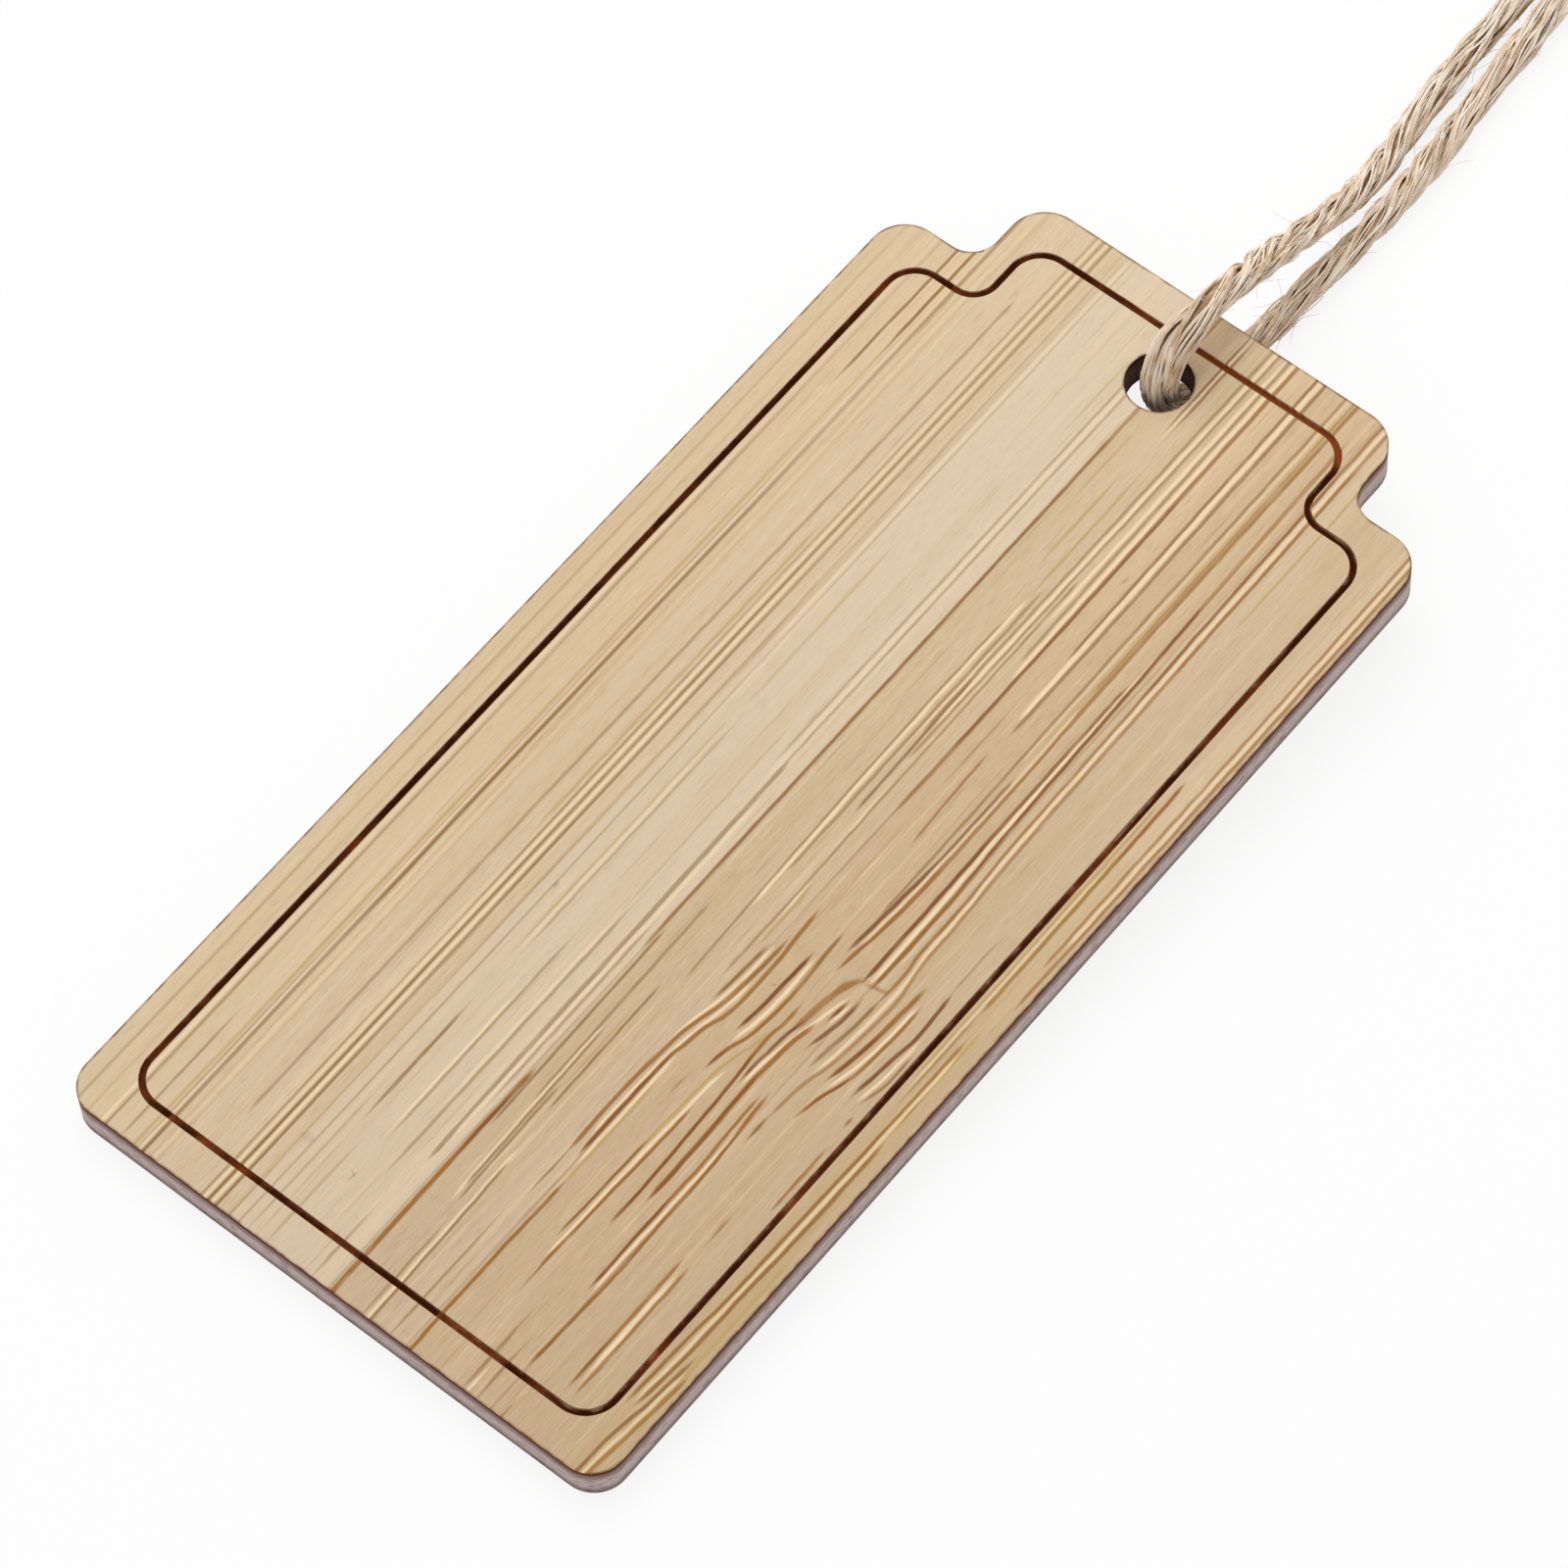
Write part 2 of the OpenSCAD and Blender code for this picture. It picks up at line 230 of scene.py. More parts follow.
# Streaks that begin or end on the face or bend at the knuckles: points down the streak, half width,
# colour and strength
streaks = [
    ([(4.72, 46), (4.75, 38)], 0.1, cream, 0.7),
    ([(4.8, 63), (4.84, 52), (4.88, 44), (4.92, 40), (4.98, 34), (4.9, 28.6)], 0.1, umber, 0.6),
    ([(5.15, 38), (5.15, 33)], 0.1, cream, 0.8),
    ([(5.3, 37.6), (5.38, 34.4), (5.4, 31.2)], 0.11, straw, 0.95),
    ([(5.88, 32.8), (5.78, 31), (5.7, 29.5), (5.6, 28.2), (5.48, 26.9)], 0.13, umber, 0.95),
    ([(6.1, 33), (6.08, 30.5), (6, 29), (5.87, 27.8), (5.67, 26.7), (5.46, 25.5),
      (5.3, 23)], 0.11, cream, 0.95),
    ([(6.38, 33.8), (6.47, 32), (6.4, 30.5), (6.3, 29), (6.15, 27.7), (5.94, 26.7), (5.67, 25.6),
      (5.5, 24.5), (5.4, 23), (5.25, 21), (5.2, 19), (5.25, 16.6), (5.25, 14.4)], 0.15, honey, 0.95),
    ([(6.4, 33.4), (6.47, 32), (6.4, 30.4), (6.28, 28.6)], 0.12, umber, 0.75),
    ([(5.25, 16.8), (5.25, 10)], 0.09, umber, 0.8),
    ([(6.62, 30.4), (6.57, 29), (6.43, 27.5), (6.2, 26.3), (6, 25), (5.8, 23.5), (5.65, 20), (5.6, 16)],
     0.1, cream, 0.9),
    ([(6.62, 36.4), (6.78, 33.5), (6.92, 31.5), (6.94, 30), (6.92, 28.5), (6.78, 27.2), (6.5, 26.3),
      (6.25, 25.3), (6.15, 24.3), (5.94, 23), (5.9, 21.5), (5.88, 19), (5.87, 17),
      (5.9, 14.6)], 0.15, honey, 0.95),
    ([(6.1, 24), (5.92, 22.4), (5.88, 19), (5.9, 14.8)], 0.1, brown, 0.8),
    ([(6.2, 24), (6.2, 19), (6.15, 14)], 0.1, cream, 0.9),
    ([(6.4, 22), (6.42, 17), (6.38, 12.5)], 0.11, straw, 0.95),
    ([(6.38, 14), (6.35, 11), (6.3, 8.5), (6.3, 5), (6.32, -2)], 0.13, honey, 1),
    ([(7, 46), (7, 36.6)], 0.09, straw, 0.52),
    ([(7.2, 44), (7.2, 36)], 0.08, cream, 0.48),
    ([(7.78, 30.55), (7.62, 30.25)], 0.12, honey, 0.7),
    ([(7.5, 23.4), (7.42, 20.6)], 0.1, umber, 0.55),
    ([(8.17, 34), (8.14, 32), (8.1, 30.5), (8.07, 29), (7.96, 27.8), (7.78, 26.2)], 0.15, brown, 1),
    ([(8.45, 33.8), (8.55, 31), (8.55, 29.5), (8.44, 28), (8.24, 26.8), (8.05, 25.4)], 0.125, cream, 0.95),
    ([(8.72, 36), (8.8, 33.5), (8.9, 31.8), (8.94, 30), (8.86, 28.5), (8.7, 27), (8.37, 26),
      (8.14, 25), (7.98, 23.4)], 0.14, honey, 1),
    ([(8.72, 36), (8.78, 34), (8.88, 32)], 0.1, umber, 0.7),
    ([(8.4, 26.1), (8.14, 25), (7.96, 23.2)], 0.11, brown, 0.8),
    ([(9.45, 29), (9.35, 27), (9.05, 26), (8.84, 25.1), (8.65, 24), (8.55, 22), (8.45, 20), (8.35, 17),
      (8.3, 14), (8.18, 9.8)], 0.11, straw, 1),
    ([(8.42, 19), (8.34, 16), (8.28, 13), (8.18, 10)], 0.1, brown, 0.75),
    ([(9.05, 25), (8.85, 22), (8.72, 19), (8.65, 15), (8.6, 11.5), (8.5, 8.6)], 0.105, cream, 0.95),
    ([(9.05, 22), (8.95, 17), (8.86, 14.5), (8.8, 12), (8.75, 10), (8.7, 7.4)], 0.12, honey, 1),
    ([(8.78, 11), (8.72, 5)], 0.08, umber, 0.7),
    ([(8.45, 4), (8.4, -2)], 0.09, straw, 0.8),
    ([(9.72, 31), (9.76, 29), (9.63, 28), (9.6, 26.8), (9.72, 25), (9.8, 23.5), (9.9, 21.5), (9.98, 19.5),
      (10.05, 17.5), (10.1, 15.5), (10.05, 12.4)], 0.13, honey, 1),
    ([(9.6, 27), (9.72, 25), (9.82, 23.4), (9.95, 20), (10.08, 16.5), (10.05, 12.4)], 0.1, brown, 0.8),
    ([(12.9, 34.6), (12.3, 34.1), (11.6, 33.75), (11.15, 33.2), (10.85, 32.3), (10.65, 31), (10.45, 29.2),
      (10.28, 28)], 0.24, honey, 0.85),
    ([(11.9, 34.6), (11.35, 33.7), (10.95, 32.8), (10.7, 31.4)], 0.34, honey, 0.6),
    ([(13.5, 34.25), (11.5, 33.4)], 0.55, honey, 0.65),
    ([(10.68, 30.4), (10.45, 29.2), (10.26, 28), (10.18, 27), (10.1, 25.5),
      (10.18, 23.8)], 0.12, brown, 0.95),
    ([(11.95, 33.1), (11.6, 32.4), (11.38, 31.4), (11.15, 30.2), (10.88, 29), (10.6, 27.5), (10.4, 26),
      (10.36, 23.6)], 0.115, cream, 0.95),
    ([(11.82, 32.8), (11.66, 31.2), (11.48, 29.8)], 0.14, brown, 0.95),
    ([(12.06, 32.8), (11.88, 31), (11.62, 29.6)], 0.1, cream, 0.95),
    ([(12.3, 33.3), (12.26, 31.5), (12.06, 30), (11.8, 28.8), (11.6, 27.8)], 0.14, brown, 0.9),
    ([(11.22, 30.6), (11, 29), (10.83, 28), (10.74, 26.5), (10.67, 25), (10.68, 23.4), (10.76, 21.8),
      (10.8, 19.6), (10.82, 17.6), (10.78, 14.8)], 0.17, honey, 1),
    ([(10.72, 26), (10.68, 23.6), (10.8, 20), (10.82, 17), (10.78, 14.8)], 0.1, brown, 0.7),
    ([(11.6, 25), (11.68, 21), (11.78, 18.6), (11.74, 14), (11.78, 8.6)], 0.12, honey, 0.95),
    ([(11.72, 17), (11.74, 13), (11.78, 8.6)], 0.09, brown, 0.8),
    ([(11.86, 24), (12.08, 19.4), (12.05, 15), (12.02, 11), (12.08, 8.4)], 0.105, cream, 0.95),
    ([(11.9, 25.4), (12.05, 22.5), (12.2, 20.5), (12.3, 18.5), (12.32, 15), (12.38, 11), (12.3, 8),
      (12.22, 5.6), (12.1, 2.8)], 0.13, honey, 1),
    ([(13.1, 34), (13.06, 31.6), (12.9, 30), (12.75, 28.7), (12.6, 27)], 0.14, umber, 0.9),
    ([(12.82, 24.4), (12.8, 23), (12.86, 21)], 0.11, umber, 0.95),
    ([(14.66, 36.2), (14.68, 34.6), (14.6, 33), (14.5, 31.5), (14.3, 29.7), (14.07, 28.3), (13.86, 26.9)],
     0.17, honey, 1),
    ([(14.56, 32.4), (14.44, 30.8), (14.2, 29), (13.86, 26.9)], 0.11, brown, 0.85),
    ([(15.06, 35), (15, 31.5), (14.83, 29.8), (14.55, 28.3), (14.12, 26.4)], 0.115, cream, 0.95),
    ([(15.28, 35), (15.26, 32), (15.2, 30.8), (15.04, 29), (14.76, 27.7), (14.35, 26.4), (14.07, 25),
      (13.9, 23.9)], 0.13, honey, 0.95),
    ([(15.08, 29.2), (14.76, 27.7), (14.4, 26.5), (14.05, 24.8)], 0.1, brown, 0.7),
    ([(16.05, 41), (16.06, 37), (16.08, 35.6)], 0.08, umber, 0.48),
    ([(16.06, 36.8), (16.2, 34.7), (16.28, 33), (16.15, 31.5), (15.97, 30), (15.83, 28.7), (15.64, 27)],
     0.14, brown, 0.95),
    ([(16.55, 33.4), (16.5, 30.5), (16.3, 28.5), (15.96, 26.8)], 0.105, cream, 0.95),
    ([(16.8, 32.4), (16.82, 29.8), (16.57, 28.3), (16.25, 26.8)], 0.11, umber, 0.8),
    ([(16.62, 26.9), (16.58, 25.5)], 0.11, umber, 0.85),
    ([(16.66, 24.8), (16.7, 22), (16.66, 18.4)], 0.11, honey, 0.85),
    ([(17.4, 3), (17.4, -2)], 0.08, straw, 0.7),
    ([(17.72, 54), (17.78, 40), (17.75, 30)], 0.1, straw, 0.9),
    ([(17.95, 50), (17.95, 28)], 0.09, cream, 0.8),
    ([(18.08, 56), (18.17, 44), (18.18, 35.6)], 0.13, honey, 1),
    ([(18.14, 38), (18.1, 27)], 0.1, umber, 0.7),
    ([(18.95, 36), (18.96, 31), (18.92, 26)], 0.12, straw, 0.9),
    ([(18.95, 30.8), (18.94, 27)], 0.09, honey, 0.9),
    ([(18.62, 35), (18.6, 30), (18.45, 22), (18.35, 18), (18.3, 14), (18.12, 11), (18, 9),
      (17.86, 4.4)], 0.13, honey, 1),
    ([(18.58, 28), (18.46, 22), (18.33, 15), (18.12, 11), (17.9, 5)], 0.09, brown, 0.75),
    ([(18.8, 34), (18.8, 28), (18.7, 20), (18.55, 14), (18.4, 9), (18.14, 4.8)], 0.115, cream, 0.95),
    ([(19, 27), (19.02, 22), (18.9, 17), (18.8, 14), (18.74, 10), (18.58, 7.6),
      (18.28, 4.6)], 0.14, honey, 1),
    ([(19.02, 26), (18.96, 19), (18.8, 13), (18.7, 9), (18.3, 4.8)], 0.1, brown, 0.75),
    ([(19.5, 18), (19.5, 11), (19.3, 6.6)], 0.12, straw, 0.9),
    ([(19.24, 10), (18.92, 6), (18.62, 4), (18.42, 1.5), (18.36, -2)], 0.13, brown, 0.95),
    ([(19.34, 9), (19.05, 4.6), (18.8, 1.5), (18.7, -2)], 0.115, cream, 0.95),
    ([(19.66, 9), (19.42, 5.5), (19.2, 3), (19, 0.8), (18.9, -2)], 0.14, honey, 1),
    ([(18.6, 50), (18.7, 20), (18.5, -4)], 1.1, straw, 0.26),
    ([(-15.36, 84), (-15.4, 62.5)], 0.11, umber, 0.85),
    ([(-14.5, 84), (-14.4, 66)], 0.11, umber, 0.9),
    ([(-15.36, 12), (-15.36, -2)], 0.1, umber, 0.6),
    ([(-10.4, 76), (-10.5, 58), (-10.67, 36), (-10.65, 5)], 0.12, umber, 0.51),
    ([(-9.65, 58), (-9.67, 28)], 0.12, straw, 0.7),
    ([(-6.95, 84), (-7.05, 58), (-7.2, 36), (-7.28, 14), (-7.3, -2)], 0.16, straw, 0.35),
    ([(-6.65, 84), (-6.75, 46)], 0.11, cream, 0.48),
    ([(-5.3, 59), (-5.3, 42)], 0.12, straw, 0.48),
    ([(-5.5, 44), (-5.5, 21)], 0.1, straw, 0.48),
    ([(-5.25, 42), (-5.27, 21)], 0.12, cream, 0.54),
    ([(-5, 44), (-5.02, 22)], 0.1, umber, 0.41),
    ([(-5.27, 20.4), (-5.2, 8)], 0.13, umber, 0.82),
    ([(-5.2, 10), (-5.15, -2)], 0.1, straw, 0.41),
    ([(-5.8, 13), (-5.8, -2)], 0.09, umber, 0.34),
    ([(-4.4, 10), (-4.4, -2)], 0.09, umber, 0.34),
    ([(-3.7, 37), (-3.65, 28)], 0.09, straw, 0.41),
    ([(-3.57, 23), (-3.5, 8)], 0.11, cream, 0.87),
    ([(-3.38, 27.5), (-3.3, 8)], 0.11, umber, 0.54),
    ([(-2.35, 78), (-2.3, 68)], 0.1, straw, 0.41),
    ([(-2.4, 46), (-2.25, 27)], 0.1, straw, 0.44),
    ([(-2.2, 30), (-2.2, 11)], 0.13, cream, 0.61),
    ([(-1.97, 31), (-1.95, 6)], 0.12, umber, 0.54),
    ([(-6.9, 7.1), (-6.95, 5.9)], 0.5, soot, 0.14),
    ([(-3.9, 6.7), (-2.8, 6.0)], 0.09, brown, 0.35),
    ([(-3.2, 7), (-3.4, 5.4)], 0.08, brown, 0.3),
    ([(-6.4, 28.2), (-6.3, 27.2)], 0.16, soot, 0.25),
    ([(-1.55, 84), (-1.56, 40)], 0.1, umber, 0.44),
    ([(-1.28, 84), (-1.27, 38)], 0.14, cream, 0.49),
    ([(-1, 84), (-1, 40)], 0.1, umber, 0.44),
    ([(-0.95, 43), (-0.85, 30), (-0.75, 20), (-0.6, 9)], 0.16, umber, 0.65),
    ([(-0.62, 40), (-0.5, 24), (-0.45, 11)], 0.14, cream, 0.65),
    ([(-0.3, 31), (-0.2, 13)], 0.12, umber, 0.51),
    ([(-1, 7), (-1, -2)], 0.12, umber, 0.54),
    ([(0.1, 84), (0.2, 60), (0.22, 27)], 0.15, honey, 0.66),
    ([(0.16, 72), (0.19, 50), (0.22, 28)], 0.08, brown, 0.5),
    ([(0.5, 30), (0.6, 22), (0.75, 13)], 0.1, umber, 0.8),
    ([(0.42, 18.5), (0.45, 8), (0.6, -2)], 0.17, honey, 1),
    ([(0.42, 18.5), (0.45, 9)], 0.1, brown, 0.8),
    ([(1.4, 33), (1.52, 24), (1.66, 15.6)], 0.11, umber, 0.62),
    ([(1.72, 23), (1.83, 16), (2.1, 8)], 0.12, cream, 0.72),
    ([(1.84, 23), (1.95, 17), (2.12, 9)], 0.1, umber, 0.75),
    ([(2.2, 18.6), (2.26, 14), (2.4, 8)], 0.1, umber, 0.7),
    ([(2.36, 84), (2.4, 72)], 0.1, brown, 0.7),
    ([(2.54, 84), (2.58, 71)], 0.09, cream, 0.8),
    ([(2.73, 84), (2.77, 72)], 0.1, honey, 0.8),
    ([(2.2, 71), (2.25, 60)], 0.12, straw, 0.75),
    ([(2.35, 26), (2.42, 16)], 0.1, straw, 0.8),
    ([(2.58, 27), (2.63, 22), (2.7, 15.6)], 0.1, umber, 0.8),
    ([(2.72, 9), (2.8, -2)], 0.1, umber, 0.6),
    ([(2.95, 14), (3.07, 6), (3.15, -2)], 0.12, cream, 0.76),
    ([(3.08, 13), (3.2, 8), (3.42, -2)], 0.1, umber, 0.8),
    ([(3.1, 72), (3.17, 58)], 0.11, straw, 0.8),
    ([(3, 58), (2.98, 48), (3.1, 40), (3.25, 34), (3.45, 27)], 0.1, umber, 0.6),
    ([(3.2, 60), (3.17, 50), (3.3, 40), (3.45, 33)], 0.12, cream, 0.95),
    ([(3.55, 61), (3.57, 48), (3.6, 36)], 0.12, umber, 0.62),
    ([(3.78, 58), (3.75, 46)], 0.09, cream, 0.7),
    ([(4.05, 84), (4, 68), (3.95, 48)], 0.11, umber, 0.58),
    ([(4.35, 84), (4.3, 66), (4.22, 49)], 0.14, cream, 0.95),
    ([(4.02, 54), (4.1, 49), (4.18, 45), (4.22, 41.4)], 0.11, umber, 0.85),
    ([(4.6, 84), (4.5, 66), (4.42, 46)], 0.11, umber, 0.58),
    ([(4.83, 11), (4.83, -2)], 0.1, umber, 0.6),
    ([(5.08, 84), (5.1, 57)], 0.12, cream, 0.98),
    ([(5.3, 84), (5.4, 66), (5.5, 55)], 0.11, umber, 0.59),
    ([(5.62, 84), (5.72, 66), (5.85, 54)], 0.14, cream, 1),
    ([(5.9, 84), (6, 66), (6.08, 50), (6, 42.8)], 0.15, honey, 0.74),
    ([(5.98, 71), (6.08, 62), (6.07, 54), (6.02, 48)], 0.1, brown, 0.6),
    ([(6.98, 64.6), (6.82, 63.2)], 0.14, brown, 0.32),
    ([(7.35, 84), (7.5, 66), (7.6, 57)], 0.11, umber, 0.82),
    ([(7.65, 84), (7.75, 68), (7.9, 52)], 0.15, cream, 1),
    ([(7.95, 84), (8.1, 68), (8.15, 58), (8.1, 51)], 0.13, brown, 0.6),
    ([(7.85, 50.4), (7.96, 46), (8.2, 41.8)], 0.1, honey, 0.75),
    ([(7.08, 55), (7.1, 45)], 0.09, umber, 0.45),
    ([(9.52, 84), (9.5, 70), (9.55, 56), (9.64, 44), (9.66, 37)], 0.11, umber, 0.68),
    ([(9.78, 84), (9.75, 66), (9.82, 50)], 0.12, cream, 0.37),
    ([(10.05, 84), (10.07, 50)], 0.2, straw, 0.44),
    ([(10.1, 50), (10.14, 44), (9.95, 39.6), (9.8, 37), (9.6, 34.2)], 0.14, brown, 0.76),
    ([(10.12, 43), (9.95, 39.6), (9.8, 37), (9.58, 34)], 0.13, brown, 0.6),
    ([(10.53, 43), (10.45, 39.5), (10.3, 37), (10.1, 35), (9.88, 32.7)], 0.14, honey, 0.8),
    ([(10.47, 40), (10.3, 37), (10.1, 35), (9.9, 32.9)], 0.1, brown, 0.55),
    ([(10.42, 84), (10.36, 66), (10.42, 54), (10.53, 42), (10.45, 39.5), (10.3, 37), (10.1, 35),
      (9.9, 32.9)], 0.15, honey, 0.8),
    ([(10.18, 56), (10.3, 48), (10.24, 41), (10.14, 38), (9.95, 34.6)], 0.11, cream, 0.56),
    ([(10.17, 7.4), (10.15, -2)], 0.12, umber, 0.75),
    ([(10.45, 3), (10.47, -2)], 0.11, cream, 0.8),
    ([(11.15, 6), (11.18, -2)], 0.12, umber, 0.7),
    ([(11.5, 59), (11.5, 48), (11.58, 40), (11.6, 37), (11.6, 33.1)], 0.14, brown, 0.8),
    ([(11.54, 46), (11.58, 40), (11.6, 37), (11.6, 33)], 0.13, brown, 0.75),
    ([(11.68, 62), (11.75, 48), (11.95, 40), (11.99, 37), (11.96, 33.2)], 0.13, cream, 1),
    ([(11.4, 80), (11.58, 68), (11.75, 60), (12, 48), (12.3, 40), (12.3, 37),
      (12.26, 33.1)], 0.15, honey, 0.68),
    ([(11.6, 66), (11.85, 55), (12, 47), (12.28, 40), (12.3, 37), (12.26, 33.2)], 0.1, brown, 0.8),
    ([(12.16, 43), (12.3, 40), (12.31, 37), (12.26, 33)], 0.13, honey, 0.8),
    ([(12.94, 42), (13.02, 40), (13.03, 37), (13.17, 35.5), (13.08, 32.6)], 0.11, honey, 0.6),
    ([(12.4, 84), (12.47, 68), (12.67, 56), (12.78, 46), (13.02, 40), (13.03, 37), (13.17, 35.5),
      (13.08, 32.6)], 0.12, honey, 0.77),
    ([(12.7, 84), (12.8, 68), (12.92, 54), (13.02, 46), (13.28, 40), (13.3, 38), (13.58, 34.5),
      (13.55, 32.5), (13.44, 30.5), (13.24, 28.5), (12.9, 26.8)], 0.13, cream, 0.78),
    ([(12.97, 84), (13.08, 68), (13.16, 56), (13.28, 46), (13.52, 40), (13.58, 37), (13.8, 35),
      (13.93, 33.5), (13.86, 32), (13.72, 30), (13.44, 28), (13.1, 26.5), (12.9, 24.7),
      (12.82, 23)], 0.13, honey, 0.68),
    ([(12.42, 78), (12.5, 67), (12.65, 57)], 0.09, brown, 0.5),
    ([(12.99, 79), (13.07, 69), (13.13, 60)], 0.1, honey, 0.6),
    ([(14, 80), (14.1, 72), (14.05, 64.6)], 0.08, straw, 0.75),
    ([(10.12, 84), (10.13, 68), (10.16, 56)], 0.08, honey, 0.6),
    ([(13, 2.2), (12.98, -2)], 0.1, honey, 0.7),
    ([(13.25, 5), (13.2, -2)], 0.09, straw, 0.7),
    ([(14.95, 19), (14.95, 15)], 0.09, straw, 0.6),
    ([(15.15, 18.6), (15.2, 14.4)], 0.1, umber, 0.7),
    ([(14.72, 14.4), (14.75, 9), (14.7, 3.1)], 0.13, honey, 0.9),
    ([(14.73, 9), (14.7, 3.1)], 0.09, brown, 0.6),
    ([(15.08, 14.6), (15.08, 3)], 0.14, cream, 1),
    ([(15.34, 14.2), (15.36, 9), (15.32, 3)], 0.12, honey, 0.85),
    ([(15.08, 1.4), (15.08, -2)], 0.09, straw, 0.8),
    ([(19.15, 77), (19.17, 60), (19.12, 46), (19.15, 40)], 0.11, honey, 0.7),
    ([(19.38, 77), (19.42, 60), (19.36, 42)], 0.13, cream, 0.7),
    ([(19.6, 77), (19.67, 60), (19.6, 46), (19.52, 37)], 0.12, honey, 0.74),
]


def fibre_stops(lines, left, right):
    """Stops of a ramp across the strip, with each fibre line clear at both its sides"""
    stops = []
    for x, half_w, colour, strength in lines:
        for offset, share in ((-half_w, 0), (-half_w / 3, strength), (half_w / 3, strength), (half_w, 0)):
            stops.append(((x + offset - left) / (right - left), (*colour[:3], share)))
    return stops


# A ramp takes 32 stops, which is eight fibre lines
ramp_lines = 8
line_least = 0.55
line_top_loss = 0.38
line_loss_from, line_loss_to = 20, 75


def fibre_marks(colour, x, y, left, right, seed):
    """The face with its full-length fibre lines, which come and go and are fainter towards the top end"""
    strength = grain(x, y, 1.4, 0.035, seed + 4).fade(0.34, 0.56)
    top_loss = y.fade(line_loss_from, line_loss_to) * line_top_loss
    shown = (strength * (1 - line_least) + line_least) * (1 - top_loss)
    place = {"Fac": (x - left) / (right - left)}
    lines = [line for line in fibre_lines if left < line[0] < right]
    for first in range(0, len(lines), ramp_lines):
        ramp = {"stops": fibre_stops(lines[first:first + ramp_lines], left, right)}
        shade = x.node("ValToRGB", ramp, place)
        mark = x.node("ValToRGB", ramp, place, "Alpha")
        colour = over(colour, mark * shown, shade)
    return colour


# A straight streak narrows over a longer way than one that bends at a knuckle. Across it, a streak is
# full up to half of its half width and gone a little past it.
straight_end_l = 4
bent_end_l = 1.6
streak_full, streak_gone = 0.5, 1.3
least_w = 0.001


def streak(x, y, points, half_w):
    """How strongly a listed streak shows: it follows its points down and narrows at both ends"""
    (top_x, high), (end_x, low) = points[0], points[-1]
    half_l = (high - low) / 2
    if len(points) == 2:
        slant = (top_x - end_x) / (high - low)
        line = y * slant + (end_x - low * slant)
        end_l = min(half_l, straight_end_l)
    else:
        left = min(px for px, py in points)
        width = max(px for px, py in points) - left
        curve = [((py - low) / (high - low), (px - left) / width) for px, py in reversed(points)]
        height = x.node("MapRange", None, {"Value": y, "From Min": low, "From Max": high})
        line = x.node("FloatCurve", {"curve": curve}, {"Value": height}) * width + left
        end_l = min(half_l, bent_end_l)
    ends = abs(y - (high + low) / 2).fade(half_l, half_l - end_l)
    return (abs(x - line) / (ends * half_w + least_w)).fade(streak_gone, streak_full) * ends


streak_raggedness = 0.12
streak_wear = 0.3
streak_overlap = 0.4


def streak_marks(colour, x, y, deep_x, left, right, seed):
    """The face with the listed streaks that cross this strip, a little ragged and worn"""
    ragged = deep_x + (grain(x, y, 1.2, 0.5, seed + 5) - 0.5) * streak_raggedness
    worn = grain(x, y, 3, 0.4, seed + 10).fade(0.25, 0.5) * streak_wear + (1 - streak_wear)
    for points, half_w, shade, share in streaks:
        if any(left - streak_overlap < px < right + streak_overlap for px, py in points):
            colour = over(colour, streak(ragged, y, points, half_w) * worn * share, shade)
    return colour


line_half = border_line_w / 2
line_fray = 0.14
line_thinner_right = 0.03
line_wider_top = 0.03
line_gain = 0.01
halo_share = 0.35
rust_over_soot = 0.85


def burnt_line(colour, x, y, z, smoke, seed):
    """The face with the burnt line sunk into it, and where the line is burnt to soot. It is rusty, where the
    laser was weaker, along the top end right of the hole and here and there elsewhere."""
    border = abs(tag_outline(x, y, border_inset, border_notch_w, border_notch_h,
                             (border_r, border_r, border_r), border_fillet_r))
    front = z.fade(label_t / 2, label_t / 2 + 0.1)
    rusty_top = x.fade(-2, 2) * y.fade(77, 79)
    rusty_patch = grain(x, y, 0.3, 0.12, seed).fade(0.42, 0.62) * 0.7
    rusty = (rusty_top + rusty_patch + smoke.fade(0.45, 0.7) * 0.3).at_most(1)
    frayed = border + (smoke - 0.5) * line_fray + x.fade(-17, -10) * line_thinner_right
    frayed = frayed - y.fade(70, 79) * line_wider_top - line_gain
    halo = frayed.fade(line_half + 0.04, line_half - 0.05) * front * halo_share
    colour = over(colour, halo, char)
    depth = z + x.fade(-12, 14) * 0.12 + (smoke - 0.5) * 0.3
    sunk = depth.fade(label_t - 0.08, label_t - 0.2)
    lined = frayed.fade(line_half - 0.01, line_half - 0.08).at_least(sunk) * front
    colour = over(colour, lined, over(char, rusty, rust))
    sooty = frayed.fade(line_half - 0.03, line_half - 0.12) * front * (1 - rusty * rust_over_soot)
    return over(colour, sooty, soot), sooty


wall_start, wall_full = 0.035, 0.015
scorch_w = 0.2
scorch_share = 0.85
wall_char_h = 0.45
hole_soot_share = 0.8


